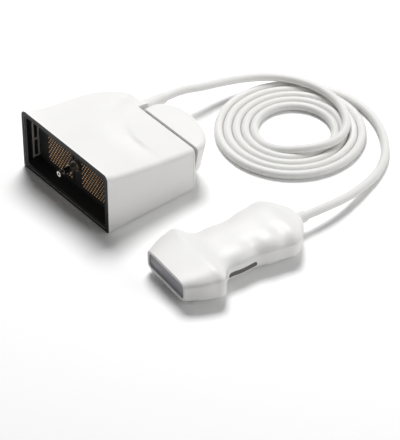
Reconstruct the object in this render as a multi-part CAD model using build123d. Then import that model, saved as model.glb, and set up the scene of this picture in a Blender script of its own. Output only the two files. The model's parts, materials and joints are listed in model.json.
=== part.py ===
from build123d import *
import math
import os

# Where the pieces lie on the table: the connector's mouth and lock axis, the probe's lens, the coil
CONNECTOR_X = -53.4
CONNECTOR_Y = 55.7
PROBE_X = -60.4
PROBE_Y = -70.1
PROBE_YAW = -5.6
COIL_X = 128.4
COIL_Y = 10.1

# Connector housing: X runs back from the mouth, Y across, Z up from the table
HOUSING_WIDTH = 104.0
MOUTH_HEIGHT = 52.5
HOUSING_DEPTH = 82.0
WALL = 1.8
SEAM = 0.25
FIT = 0.1
TOP_FILLET = 4.2
EDGE_FILLET = 1.6
HEEL_RADIUS = 7.0
# The top falls to the rear, flares up to the mouth's lip and carries a crown in front of a thumb scoop;
# the scoop's rear wall runs along a swept line, with a flat deck behind it
REAR_SHARE = 0.2046
LIP_SHARE = 0.0838
LIP_RUN = 9.7
CROWN = 5.0
CROWN_RUN = 15.0
FADE_LEAD = 13.0
FADE_SOFT = 5.0
SCOOP_X = 52.5
SCOOP_SWEEP = 11.0
SCOOP_FROM = -37.0
SCOOP_SPAN = 45.0
SCOOP_DEPTH = 2.4
SCOOP_RUN = 9.0
SCOOP_WALL = 0.9
SCOOP_MIDDLE = -17.0
SCOOP_REACH = 21.0
RIB_PITCH = 3.0
RIB_SPACING = 5.0
RIBS_BEYOND = 4
SHORTEST_TOP_EDGE = 12.0
# The cable bulge at the rear left, rounded in plan about one centre
BULGE_CENTRE_Y = 12.0
BULGE_DEPTH = 92.0
BULGE_SIDE = 16.4
# Cavity behind the mouth
PANEL_FRONT = 12.0
PANEL_THICK = 3.0
MOUTH_BACK_DROP = 2.8
MOUTH_CORNER = 5.4
CAVITY_WALL = 2.4
CAVITY_STEP = 0.9
ROOF_REAR = 3.56
TRAY_START = 17.0

# Mouth liner and contact panel
LINER_FRONT = 0.8
LINER_WALL = 2.8
ARRAY_WIDTH = 31.6
ARRAY_MARGIN = 10.3
ARRAY_Y = 20.4
ARRAY_DROP = 0.45
BLOCK_PROUD = 0.5
BLOCK_EAR = 1.4
BLOCK_EAR_THICK = 3.0
SPRING_THICK = 0.5
SPRING_WIDTH = 6.0
SPRING_FROM = 5.4
SPRING_BOTTOM = 8.0
SPRING_TOP_GAP = 4.6
SPRING_BORDER = 1.3

# Lock shaft, its bushings and the lever
SHAFT_DIAMETER = 5.0
SHAFT_CLEARANCE = 0.05
SHAFT_FRONT = -1.2
SHAFT_IN_LEVER = 15.0
TIP_LENGTH = 4.0
TIP_DIAMETER = 4.4
TIP_BORE = 2.4
TIP_BORE_DEPTH = 3.0
TIP_SPIGOT = 2.2
TIP_SPIGOT_LENGTH = 3.0
BUSHING_DIAMETER = 7.0
BUSHING_NOSE = 5.0
BUSHING_COLLAR = 8.6
BUSHING_COLLAR_LENGTH = 2.4
BEARING_WALL = 2.0
BEARING_LENGTH = 7.6
CLIP_THICK = 0.7
CLIP_DIAMETER = 9.4
CLIP_GROOVE = 4.0
CLIP_MOUTH = 3.2
WASHER_THICK = 0.5
WASHER_DIAMETER = 8.6
WASHER_GAP = 0.3
LEVER_GAP = 0.7
LEVER_BOSS_GAP = 0.3
LEVER_BOSS = 10.0
LEVER_THICK = 25.0
LEVER_SHORT = 12.0
LEVER_LONG = 54.0
LEVER_REACH = 24.0
LEVER_CREST = 13.0
LEVER_FLAT = 6.5
LEVER_DRAFT = 4.5
LEVER_TOP_FILLET = 3.5
LEVER_LOW_FILLET = 2.0
SET_SCREW = 3.0
SET_SCREW_FROM_FRONT = 8.0
SET_SCREW_LENGTH = 7.0

# Boards inside the connector
BOARD_THICK = 1.6
FRONT_BOARD_SIDE_GAP = 6.0
FRONT_BOARD_BOTTOM = 5.0
FRONT_BOARD_TOP_GAP = 2.0
MAIN_BOARD_X = 22.0
MAIN_BOARD_REAR_GAP = 5.6
MAIN_BOARD_SIDE_GAP = 12.0
MAIN_BOARD_Z = 10.0
BOARD_HOLE_INSET = 6.0
BOARD_BOSS = 6.5
HEADER_LENGTH = 28.0
HEADER_HEIGHT = 6.5
HEADER_DEPTH = 6.4
HEADER_GAP = 1.0
HEADER_WALL = 2.0
SCREW_SHANK = 2.4
SCREW_HEAD = 4.8
SCREW_HEAD_HEIGHT = 1.6
SCREW_LENGTH = 6.0
TRAY_SCREW_SUNK = 0.3
POST_DIAMETER = 6.4
POST_INSET = 6.2
POST_FRONT_X = 23.4
POST_REAR_X = 70.0
POST_BULGE_X = 56.0
POST_SUNK = 0.9

# Cable and its boots
CABLE_DIAMETER = 6.7
CABLE_EXIT_Y = 27.0
CABLE_EXIT_DROP = 2.25
BOOT_ROOT = 11.0
BOOT_TIP = 8.4
BOOT_STRAIGHT = 13.0
BOOT_TAPER = 22.0
CORE_DIAMETER = 5.6
FERRULE_DIAMETER = 13.0
FERRULE_LENGTH = 6.0
TAIL_INSIDE = 6.0
FAN_WIDTH = 26.0
FAN_THICK = 2.4
FAN_RUN = 22.0

# Probe: X runs back from the lens, Y across, Z from the mid-plane; stations, widths and thicknesses.
# The head is a wedge from the nose to the ridge, the grip goes on from there to the tail
NOSE_X = 1.6
NOSE_WIDTH = 48.0
NOSE_THICK = 17.2
RIDGE_X = 25.0
RIDGE_WIDTH = 69.0
RIDGE_THICK = 25.2
RIM_X = 30.2
RIM_IN = 1.0
RIM_DROP = 1.2
STEP_X = 34.4
STEP_WIDTH = 56.0
STEP_THICK = 22.2
NECK_X = 39.5
NECK_WIDTH = 46.0
NECK_THICK = 21.2
GRIP_X = 50.0
GRIP_WIDTH = 45.0
GRIP_THICK = 21.6
WAIST_X = 65.0
WAIST_WIDTH = 43.6
WAIST_THICK = 21.8
KNUCKLE_X = 78.5
KNUCKLE_WIDTH = 49.0
KNUCKLE_THICK = 24.2
PALM_X = 87.0
PALM_WIDTH = 51.2
PALM_THICK = 24.4
HEEL_X = 95.0
HEEL_WIDTH = 53.4
HEEL_THICK = 25.0
BACK_X = 104.0
BACK_WIDTH = 43.6
BACK_THICK = 22.2
END_X = 110.0
END_WIDTH = 29.0
END_THICK = 17.6
TAIL_X = 113.5
TAIL_WIDTH = 18.0
TAIL_THICK = 13.6
SECTION_POINTS = 18
HEAD_POWER = 5.6
RIM_POWER = 5.2
BODY_POWER = 3.6
TAIL_POWER = 3.0

# Lens and array stack in the nose
LENS_WIDTH = 44.0
LENS_HEIGHT = 11.6
LENS_DEPTH = 4.0
LENS_CORNER = 2.8
LENS_BULGE = 0.6
LENS_RECESS = 0.8
FRAME_WALL = 1.6
FRAME_DEPTH = 9.0
FRAME_WIDTH = 43.6
FRAME_HEIGHT = 10.4
STACK_CLEARANCE = 0.15
MATCHING_THICK = 0.6
ELEMENT_THICK = 0.6
FLEX_THICK = 0.3
FLEX_WIDTH = 31.0
FLEX_LAP = 8.0
PROBE_BOARD_X = 25.0
PROBE_BOARD_LENGTH = 45.0
PROBE_BOARD_WIDTH = 30.0
PROBE_BOARD_THICK = 1.2
HANDLE_CAVITY_WIDTH = 33.0
HANDLE_CAVITY_HEIGHT = 13.0
HANDLE_CAVITY_END = 84.0
RIB_WIDTH = 3.0
RIB_FRONT_X = 34.0
RIB_REAR_X = 60.0
PROBE_FERRULE_DIAMETER = 11.0
PROBE_FERRULE_LENGTH = 7.0
PROBE_BOOT_ROOT = 10.0
PROBE_BOOT_INSIDE = 12.0
PROBE_BOOT_TAPER = 8.0
FAN_END_GAP = 2.0
FLEX_STRAIGHT = 3.0
FLEX_LEAD = 1.0
MARKER_X = 40.0
MARKER_LENGTH = 24.5
MARKER_HEIGHT = 4.2
MARKER_Z = -2.8
MARKER_DEPTH = 1.2
MARKER_END_SHARE = 0.45

# Coil and the two free leads of the cable
COIL_INNER = 24.0
COIL_OUTER = 61.4
COIL_ROUND = 2.2
LEAD_STRAIGHT = 15.0
RUN_SHARE = 0.45
LEAD_IN = [
    (95.1, 80.7, 19.2),
    (117.1, 79.9, 14.6),
    (138.1, 75.2, 11.6),
    (155.6, 65.2, 10.3),
    (168.1, 48.7, 10.2),
    (174.4, 28.7, 10.2),
    (173.6, 8.2, 10.2),
    (164.9, -10.3, 10.0),
    (153.1, -24.3, 8.6),
    (137.1, -31.3, 5.4),
]
LEAD_OUT = [
    (189.3, 11.7, 3.4),
    (189.6, -8.3, 3.4),
    (183.6, -28.3, 3.4),
    (172.6, -46.8, 3.4),
    (157.1, -62.3, 3.4),
    (139.1, -71.8, 3.6),
    (118.1, -78.1, 6.0),
    (96.6, -82.5, 9.5),
]

AXIS_Z = MOUTH_HEIGHT / 2
HALF_WIDTH = HOUSING_WIDTH / 2
BULGE_RADIUS = HALF_WIDTH - BULGE_CENTRE_Y
LIP_RISE = LIP_SHARE * MOUTH_HEIGHT
TOP_FALL = REAR_SHARE * MOUTH_HEIGHT / HOUSING_DEPTH
MOUTH_BACK_TOP = MOUTH_HEIGHT - LIP_RISE - MOUTH_BACK_DROP
CAVITY_TOP_FRONT = MOUTH_BACK_TOP - CAVITY_STEP
CAVITY_TOP_REAR = MOUTH_HEIGHT - LIP_RISE - REAR_SHARE * MOUTH_HEIGHT - ROOF_REAR
ARRAY_HEIGHT = MOUTH_BACK_TOP - ARRAY_MARGIN
ARRAY_Z = AXIS_Z - ARRAY_DROP
SPRING_TOP = MOUTH_BACK_TOP - SPRING_TOP_GAP
BEARING_BOSS = BUSHING_DIAMETER + 2 * BEARING_WALL
FRONT_BOARD_WIDTH = HOUSING_WIDTH - 2 * FRONT_BOARD_SIDE_GAP
FRONT_BOARD_TOP = CAVITY_TOP_FRONT - FRONT_BOARD_TOP_GAP
CABLE_EXIT_Z = AXIS_Z - CABLE_EXIT_DROP
PANEL_BACK = PANEL_FRONT + PANEL_THICK
BLOCK_BACK = PANEL_BACK + BLOCK_EAR_THICK
REAR_WALL_FRONT = HOUSING_DEPTH - CAVITY_WALL
BEARING_FRONT = REAR_WALL_FRONT - BEARING_LENGTH
MAIN_BOARD_LENGTH = REAR_WALL_FRONT - MAIN_BOARD_REAR_GAP - MAIN_BOARD_X
MAIN_BOARD_WIDTH = HOUSING_WIDTH - 2 * MAIN_BOARD_SIDE_GAP
LEVER_FRONT = HOUSING_DEPTH + LEVER_GAP
LEVER_TOP = AXIS_Z + LEVER_THICK / 2
LEVER_BOTTOM = AXIS_Z - LEVER_THICK / 2
MAIN_BOARD_TOP = MAIN_BOARD_Z + BOARD_THICK
CONNECTOR_BOOT_END = REAR_WALL_FRONT + BOOT_STRAIGHT + BOOT_TAPER
PROBE_BOOT_END = TAIL_X + PROBE_BOOT_TAPER
LENS_FRONT = NOSE_X + LENS_RECESS
FRAME_END = LENS_DEPTH + FRAME_DEPTH
BOARD_END = PROBE_BOARD_X + PROBE_BOARD_LENGTH
FAR = 300.0
CUT = 1.0
QUARTER = 90.0

CONNECTOR = Location((CONNECTOR_X, CONNECTOR_Y, 0))


# Small helpers: a box by its limits, a body turned about a line along X, a rod, a hole down Z
def block(x0, x1, y0, y1, z0, z1):
    size = (x1 - x0, y1 - y0, z1 - z0)
    return Pos((x0 + x1) / 2, (y0 + y1) / 2, (z0 + z1) / 2) * Box(*size)


def turned(profile, y=0.0, z=AXIS_Z):
    return Pos(0, y, z) * revolve(make_face(Polyline(*profile, close=True)), Axis.X)


def rod(x0, x1, diameter, y=0.0, z=AXIS_Z):
    return turned([(x0, 0), (x0, diameter / 2), (x1, diameter / 2), (x1, 0)], y, z)


def tube(x0, x1, diameter, bore, y=0.0, z=AXIS_Z):
    return turned([(x0, bore / 2), (x0, diameter / 2), (x1, diameter / 2), (x1, bore / 2)], y, z)


def post(x, y, z0, z1, diameter):
    return Pos(x, y, (z0 + z1) / 2) * Cylinder(diameter / 2, z1 - z0)


def oval_loft(stations):
    """A loft through ovals across X: each station is x, y, z, width and height."""
    ovals = [Plane.YZ.offset(x) * Pos(y, z) * Ellipse(w / 2, h / 2) for x, y, z, w, h in stations]
    return loft(ovals)


# Connector housing
def top_height(x, y):
    base = MOUTH_HEIGHT - LIP_RISE - TOP_FALL * x + LIP_RISE * math.exp(-x / LIP_RUN)
    across = 1 - (y / HALF_WIDTH) ** 2
    rise = 1 - math.exp(-max(0.0, x) / CROWN_RUN)
    line_x = SCOOP_X + SCOOP_SWEEP * (max(0.0, y - SCOOP_FROM) / SCOOP_SPAN) ** 4
    crown = CROWN * across * rise / (1 + math.exp((x - line_x + FADE_LEAD) / FADE_SOFT))
    depth = SCOOP_DEPTH * math.exp(-(((y - SCOOP_MIDDLE) / SCOOP_REACH) ** 2))
    run = math.exp(-((min(0.0, x - line_x) / SCOOP_RUN) ** 2))
    return base + crown - depth * run / (1 + math.exp((x - line_x) / SCOOP_WALL))


def housing_rib(y):
    count = round(BULGE_DEPTH / RIB_PITCH) + RIBS_BEYOND
    stations = [RIB_PITCH * (i - 1) for i in range(count)]
    steps = [i / (count - 1) for i in range(count)]
    top = Edge.make_spline([(x, top_height(x, y)) for x in stations], parameters=steps)
    under = Polyline(top @ 1, (stations[-1], -RIB_PITCH), (stations[0], -RIB_PITCH), top @ 0)
    return Plane.XZ.offset(-y) * make_face([top, under])


def housing_plan():
    centre = (BULGE_DEPTH - BULGE_RADIUS, BULGE_CENTRE_Y)
    start = math.degrees(math.asin((BULGE_SIDE - centre[1]) / BULGE_RADIUS))
    arc = CenterArc(centre, BULGE_RADIUS, start, QUARTER - start)
    rest = Polyline(
        arc @ 1,
        (0, HALF_WIDTH),
        (0, -HALF_WIDTH),
        (HOUSING_DEPTH, -HALF_WIDTH),
        (HOUSING_DEPTH, BULGE_SIDE),
        arc @ 0,
    )
    return make_face([arc, rest])


def housing_body():
    half_ribs = math.ceil(HALF_WIDTH / RIB_SPACING)
    ribs = [housing_rib(RIB_SPACING * i) for i in range(-half_ribs, half_ribs + 1)]
    body = loft(ribs) & extrude(housing_plan(), 2 * MOUTH_HEIGHT)
    heel_centre = (HOUSING_DEPTH - HEEL_RADIUS, HEEL_RADIUS)
    heel_arc = CenterArc(heel_centre, HEEL_RADIUS, -QUARTER, QUARTER)
    heel = make_face([heel_arc, Polyline(heel_arc @ 1, (HOUSING_DEPTH, 0), heel_arc @ 0)])
    body -= extrude(Plane.XZ.offset(-BULGE_SIDE) * heel, HOUSING_WIDTH)
    upper = [e for e in body.edges() if e.center().Z > AXIS_Z and abs(e.center().Y) > BULGE_SIDE + CUT]
    upper = [e for e in upper if abs(e.tangent_at(0.5).X) > 0.5]
    body = fillet([e for e in upper if e.length > SHORTEST_TOP_EDGE], TOP_FILLET)
    near = [e for e in body.edges() if e.center().Y < 0.5 - HALF_WIDTH and e.center().X > 1]
    near = [e for e in near if e.center().Z < AXIS_Z]
    far = [e for e in body.edges() if e.center().Y > BULGE_SIDE + CUT and e.center().Z < 0.1]
    return fillet(near + [e for e in far if e.center().X > 1], EDGE_FILLET)


def mouth_section(x, inset):
    fall = (MOUTH_HEIGHT - WALL - MOUTH_BACK_TOP) / PANEL_BACK
    top = MOUTH_HEIGHT - WALL - fall * x - inset
    low = WALL + inset
    outline = RectangleRounded(HOUSING_WIDTH - 2 * low, top - low, MOUTH_CORNER - inset)
    return Plane.YZ.offset(x) * Pos(0, (top + low) / 2) * outline


def mouth_space(x0, x1, inset):
    return loft([mouth_section(x0, inset), mouth_section(x1, inset)], ruled=True)


def housing_shell():
    corner = HEEL_RADIUS - CAVITY_WALL
    side = Polyline(
        (PANEL_BACK, CAVITY_WALL),
        (REAR_WALL_FRONT - corner, CAVITY_WALL),
        (REAR_WALL_FRONT, CAVITY_WALL + corner),
        (REAR_WALL_FRONT, CAVITY_TOP_REAR),
        (PANEL_BACK, CAVITY_TOP_FRONT),
        close=True,
    )
    cavity = extrude(Plane.XZ * make_face(side), HOUSING_WIDTH, both=True)
    cavity &= extrude(offset(housing_plan(), -CAVITY_WALL), MOUTH_HEIGHT)
    bore = rod(REAR_WALL_FRONT - CUT, BULGE_DEPTH, BOOT_ROOT + 2 * FIT, CABLE_EXIT_Y, CABLE_EXIT_Z)
    return housing_body() - mouth_space(-CUT, PANEL_BACK, 0) - cavity - bore


def tray_zone(gap):
    floor = block(TRAY_START - gap, FAR, -FAR, FAR, -CUT, CAVITY_WALL + gap)
    return floor + block(REAR_WALL_FRONT - gap, FAR, -FAR, FAR, -CUT, CAVITY_TOP_REAR + gap)


def post_places():
    side = HALF_WIDTH - POST_INSET
    return [(POST_FRONT_X, side), (POST_FRONT_X, -side), (POST_REAR_X, -side), (POST_BULGE_X, side)]


def board_holes():
    x0 = MAIN_BOARD_X + BOARD_HOLE_INSET
    x1 = MAIN_BOARD_X + MAIN_BOARD_LENGTH - BOARD_HOLE_INSET
    y = MAIN_BOARD_WIDTH / 2 - BOARD_HOLE_INSET
    return [(x0, y), (x0, -y), (x1, -y), (x1, y)]


def cavity_top(x):
    fall = (CAVITY_TOP_FRONT - CAVITY_TOP_REAR) / (REAR_WALL_FRONT - PANEL_BACK)
    return CAVITY_TOP_FRONT - fall * (x - PANEL_BACK)


def connector_hood(shell):
    hood = shell - tray_zone(SEAM)
    for x, y in post_places():
        hood += post(x, y, CAVITY_WALL, cavity_top(x) + POST_SUNK, POST_DIAMETER)
        hood -= post(x, y, CAVITY_WALL - CUT, SCREW_HEAD_HEIGHT + SCREW_LENGTH + CUT, SCREW_SHANK)
    return hood


def rear_tray(shell):
    tray = shell & tray_zone(0)
    tray += rod(BEARING_FRONT, REAR_WALL_FRONT + CUT, BEARING_BOSS)
    tray -= rod(BEARING_FRONT - CUT, FAR, BUSHING_DIAMETER + FIT)
    for x, y in board_holes():
        tray += post(x, y, CAVITY_WALL - CUT, MAIN_BOARD_Z, BOARD_BOSS)
        tray -= post(x, y, MAIN_BOARD_TOP - SCREW_LENGTH - CUT, MAIN_BOARD_Z + CUT, SCREW_SHANK)
    for x, y in post_places():
        tray -= post(x, y, -CUT, CAVITY_WALL + CUT, SCREW_SHANK + 2 * FIT)
        tray -= post(x, y, -CUT, SCREW_HEAD_HEIGHT, SCREW_HEAD + 2 * FIT)
    return tray


def tray_screws():
    screws = Part()
    for x, y in post_places():
        screws += post(x, y, TRAY_SCREW_SUNK, SCREW_HEAD_HEIGHT, SCREW_HEAD)
        screws += post(x, y, SCREW_HEAD_HEIGHT, SCREW_HEAD_HEIGHT + SCREW_LENGTH, SCREW_SHANK)
    return screws


# Mouth: liner, panel, contact blocks and earth springs
def mouth_liner():
    inner = mouth_space(LINER_FRONT - CUT, PANEL_FRONT + CUT, FIT + LINER_WALL)
    return mouth_space(LINER_FRONT, PANEL_FRONT, FIT) - inner


def array_box(side, grow, x0, x1):
    y = side * ARRAY_Y
    half = ARRAY_WIDTH / 2 + grow
    tall = ARRAY_HEIGHT / 2 + grow
    return block(x0, x1, y - half, y + half, ARRAY_Z - tall, ARRAY_Z + tall)


def contact_panel():
    panel = extrude(mouth_section(PANEL_BACK, FIT), -PANEL_THICK)
    for side in (1, -1):
        panel -= array_box(side, FIT, 0, PANEL_BACK + CUT)
    return panel - rod(0, PANEL_BACK + CUT, BUSHING_DIAMETER + FIT)


def contact_block(side):
    body = array_box(side, 0, PANEL_FRONT - BLOCK_PROUD, BLOCK_BACK)
    edge = side * (ARRAY_Y + ARRAY_WIDTH / 2)
    ear_y = sorted((edge - side * BLOCK_EAR, edge + side * BLOCK_EAR))
    low = ARRAY_Z - ARRAY_HEIGHT / 2
    return body + block(PANEL_BACK, BLOCK_BACK, *ear_y, low, low + ARRAY_HEIGHT)


def earth_spring(side):
    wall = HALF_WIDTH - WALL - FIT - LINER_WALL
    y = sorted((side * wall, side * (wall - SPRING_THICK)))
    spring = block(SPRING_FROM, SPRING_FROM + SPRING_WIDTH, *y, SPRING_BOTTOM, SPRING_TOP)
    tall = (SPRING_TOP - SPRING_BOTTOM - 3 * SPRING_BORDER) / 2
    for z in (SPRING_BOTTOM + SPRING_BORDER, SPRING_TOP - SPRING_BORDER - tall):
        x0 = SPRING_FROM + SPRING_BORDER
        spring -= block(x0, SPRING_FROM + SPRING_WIDTH - SPRING_BORDER, -FAR, FAR, z, z + tall)
    return spring


# Lock: bushings, shaft, tip, clip, washer, lever and its set screw
def front_bushing():
    bore = SHAFT_DIAMETER / 2 + SHAFT_CLEARANCE
    body = BUSHING_DIAMETER / 2
    collar = BUSHING_COLLAR / 2
    nose = PANEL_FRONT - BUSHING_COLLAR_LENGTH - BUSHING_NOSE
    step = PANEL_FRONT - BUSHING_COLLAR_LENGTH
    profile = [(nose, bore), (nose, body), (step, body), (step, collar)]
    profile += [(PANEL_FRONT, collar), (PANEL_FRONT, body), (BLOCK_BACK, body), (BLOCK_BACK, bore)]
    return turned(profile)


def rear_bushing():
    return tube(BEARING_FRONT, HOUSING_DEPTH, BUSHING_DIAMETER, SHAFT_DIAMETER + 2 * SHAFT_CLEARANCE)


def washer_front():
    return BEARING_FRONT - WASHER_GAP - WASHER_THICK


def clip_front():
    return washer_front() - CLIP_THICK


def lock_shaft():
    shaft = rod(SHAFT_FRONT, LEVER_FRONT + SHAFT_IN_LEVER, SHAFT_DIAMETER)
    shaft -= rod(SHAFT_FRONT - CUT, SHAFT_FRONT + TIP_SPIGOT_LENGTH + FIT, TIP_SPIGOT + FIT)
    return shaft - tube(clip_front(), washer_front(), SHAFT_DIAMETER + CUT, CLIP_GROOVE)


def lock_tip():
    front = SHAFT_FRONT - TIP_LENGTH
    tip = rod(front, SHAFT_FRONT, TIP_DIAMETER) - rod(front - CUT, front + TIP_BORE_DEPTH, TIP_BORE)
    return tip + rod(SHAFT_FRONT, SHAFT_FRONT + TIP_SPIGOT_LENGTH, TIP_SPIGOT)


def shaft_clip():
    ring = tube(clip_front(), washer_front(), CLIP_DIAMETER, CLIP_GROOVE + FIT)
    mouth = CLIP_MOUTH / 2
    return ring - block(0, FAR, -mouth, mouth, AXIS_Z - CLIP_DIAMETER, AXIS_Z)


def wave_washer():
    bore = SHAFT_DIAMETER + 4 * FIT
    return tube(washer_front(), washer_front() + WASHER_THICK, WASHER_DIAMETER, bore)


def lever_outline(z, shrink):
    centre_y = -LEVER_CREST
    reach = LEVER_REACH - shrink
    short = LEVER_SHORT + LEVER_CREST - shrink
    long = LEVER_LONG - LEVER_CREST - shrink
    flat = LEVER_FRONT + LEVER_FLAT
    heel = EllipticalCenterArc((flat, centre_y), reach - LEVER_FLAT, short, start_angle=0, arc_size=QUARTER)
    arm = EllipticalCenterArc((LEVER_FRONT, centre_y), reach, long, start_angle=-QUARTER, arc_size=QUARTER)
    rest = Polyline(heel @ 1, (LEVER_FRONT, centre_y + short), arm @ 0)
    return Plane.XY.offset(z) * make_face([heel, arm, rest])


def lock_lever():
    lever = loft([lever_outline(LEVER_BOTTOM, LEVER_DRAFT), lever_outline(LEVER_TOP, 0)], ruled=True)
    rim = [e for e in lever.edges() if abs(e.center().X - LEVER_FRONT) > 0.5]
    lever = fillet([e for e in rim if e.center().Z > LEVER_TOP - 0.1], LEVER_TOP_FILLET)
    rim = [e for e in lever.edges() if abs(e.center().X - LEVER_FRONT) > 0.5]
    lever = fillet([e for e in rim if e.center().Z < LEVER_BOTTOM + 0.1], LEVER_LOW_FILLET)
    lever += rod(HOUSING_DEPTH + LEVER_BOSS_GAP, LEVER_FRONT + CUT, LEVER_BOSS)
    lever -= rod(HOUSING_DEPTH, LEVER_FRONT + SHAFT_IN_LEVER, SHAFT_DIAMETER + FIT)
    x = LEVER_FRONT + SET_SCREW_FROM_FRONT
    return lever - post(x, 0, LEVER_BOTTOM - CUT, AXIS_Z, SET_SCREW + FIT)


def lever_set_screw():
    top = AXIS_Z - SHAFT_DIAMETER / 2
    x = LEVER_FRONT + SET_SCREW_FROM_FRONT
    screw = post(x, 0, top - SET_SCREW_LENGTH, top, SET_SCREW)
    return screw - post(x, 0, 0, top - SET_SCREW_LENGTH + SET_SCREW / 2, SET_SCREW / 2)


# Boards and wiring inside the connector
def interface_board():
    half = FRONT_BOARD_WIDTH / 2
    board = block(BLOCK_BACK, BLOCK_BACK + BOARD_THICK, -half, half, FRONT_BOARD_BOTTOM, FRONT_BOARD_TOP)
    return board - rod(0, FAR, BUSHING_DIAMETER)


def main_board():
    half = MAIN_BOARD_WIDTH / 2
    end = MAIN_BOARD_X + MAIN_BOARD_LENGTH
    board = block(MAIN_BOARD_X, end, -half, half, MAIN_BOARD_Z, MAIN_BOARD_TOP)
    for x, y in board_holes():
        board -= post(x, y, 0, FAR, SCREW_SHANK + 2 * FIT)
    return board


def board_screws():
    screws = Part()
    for x, y in board_holes():
        screws += post(x, y, MAIN_BOARD_TOP, MAIN_BOARD_TOP + SCREW_HEAD_HEIGHT, SCREW_HEAD)
        screws += post(x, y, MAIN_BOARD_TOP - SCREW_LENGTH, MAIN_BOARD_TOP, SCREW_SHANK)
    return screws


def board_header(side):
    x0 = BLOCK_BACK + BOARD_THICK
    half = HEADER_LENGTH / 2
    y = side * ARRAY_Y
    top = MAIN_BOARD_TOP + HEADER_HEIGHT
    body = block(x0, MAIN_BOARD_X + HEADER_DEPTH, y - half, y + half, MAIN_BOARD_TOP, top)
    hole_y = side * (MAIN_BOARD_WIDTH / 2 - BOARD_HOLE_INSET)
    head = SCREW_HEAD / 2 + HEADER_GAP
    return body - block(x0 + HEADER_WALL, FAR, hole_y - head, hole_y + head, 0, FAR)


def connector_coax_fan():
    start = REAR_WALL_FRONT - FERRULE_LENGTH - TAIL_INSIDE
    rest = MAIN_BOARD_TOP + FAN_THICK / 2
    middle = (CABLE_EXIT_Z + rest) / 2
    return oval_loft(
        [
            (start - FAN_RUN, CABLE_EXIT_Y, rest, FAN_WIDTH, FAN_THICK),
            (start - FAN_RUN / 2, CABLE_EXIT_Y, middle, FAN_WIDTH / 2, CORE_DIAMETER / 2 + FAN_THICK / 2),
            (start, CABLE_EXIT_Y, CABLE_EXIT_Z, CORE_DIAMETER, CORE_DIAMETER),
        ]
    )


def connector_cable_tail():
    start = REAR_WALL_FRONT - FERRULE_LENGTH - TAIL_INSIDE
    return rod(start, CONNECTOR_BOOT_END, CABLE_DIAMETER, CABLE_EXIT_Y, CABLE_EXIT_Z)


def cable_ferrule():
    start = REAR_WALL_FRONT - FERRULE_LENGTH
    bore = CABLE_DIAMETER + FIT
    return tube(start, REAR_WALL_FRONT, FERRULE_DIAMETER, bore, CABLE_EXIT_Y, CABLE_EXIT_Z)


def connector_boot():
    bore = CABLE_DIAMETER / 2 + FIT / 2
    straight = REAR_WALL_FRONT + BOOT_STRAIGHT
    profile = [(REAR_WALL_FRONT, bore), (REAR_WALL_FRONT, BOOT_ROOT / 2), (straight, BOOT_ROOT / 2)]
    profile += [(CONNECTOR_BOOT_END, BOOT_TIP / 2), (CONNECTOR_BOOT_END, bore)]
    return turned(profile, CABLE_EXIT_Y, CABLE_EXIT_Z)


# Probe: both handle shells come from one body, an upper half and its mirror image
def handle_section(x, width, thick, power):
    """The upper half of a rounded section across X."""
    points = [(width / 2, 0)]
    for i in range(1, SECTION_POINTS):
        angle = math.pi * i / SECTION_POINTS
        y = math.copysign(abs(math.cos(angle)) ** (2 / power), math.cos(angle))
        points.append((width / 2 * y, thick / 2 * math.sin(angle) ** (2 / power)))
    points.append((-width / 2, 0))
    top = Spline(*points, tangents=((0, 1), (0, -1)))
    return Plane.YZ.offset(x) * make_face([top, Line(top @ 1, top @ 0)])


def handle_body():
    nose = handle_section(NOSE_X, NOSE_WIDTH, NOSE_THICK, HEAD_POWER)
    ridge = handle_section(RIDGE_X, RIDGE_WIDTH, RIDGE_THICK, HEAD_POWER)
    stations = [
        (RIM_X, RIDGE_WIDTH - RIM_IN, RIDGE_THICK - RIM_DROP, RIM_POWER),
        (STEP_X, STEP_WIDTH, STEP_THICK, BODY_POWER),
        (NECK_X, NECK_WIDTH, NECK_THICK, BODY_POWER),
        (GRIP_X, GRIP_WIDTH, GRIP_THICK, BODY_POWER),
        (WAIST_X, WAIST_WIDTH, WAIST_THICK, BODY_POWER),
        (KNUCKLE_X, KNUCKLE_WIDTH, KNUCKLE_THICK, BODY_POWER),
        (PALM_X, PALM_WIDTH, PALM_THICK, BODY_POWER),
        (HEEL_X, HEEL_WIDTH, HEEL_THICK, BODY_POWER),
        (BACK_X, BACK_WIDTH, BACK_THICK, TAIL_POWER),
        (END_X, END_WIDTH, END_THICK, TAIL_POWER),
        (TAIL_X, TAIL_WIDTH, TAIL_THICK, TAIL_POWER),
    ]
    grip = loft([ridge] + [handle_section(*station) for station in stations])
    upper = loft([nose, ridge], ruled=True) + grip
    return upper + mirror(upper, Plane.XY)


def lens_prism(x0, x1, grow):
    outline = RectangleRounded(LENS_WIDTH + 2 * grow, LENS_HEIGHT + 2 * grow, LENS_CORNER)
    return extrude(Plane.YZ.offset(x0) * outline, x1 - x0)


def centred(x0, x1, width, height):
    return block(x0, x1, -width / 2, width / 2, -height / 2, height / 2)


def probe_rod(x0, x1, diameter):
    return rod(x0, x1, diameter, 0, 0)


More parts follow.
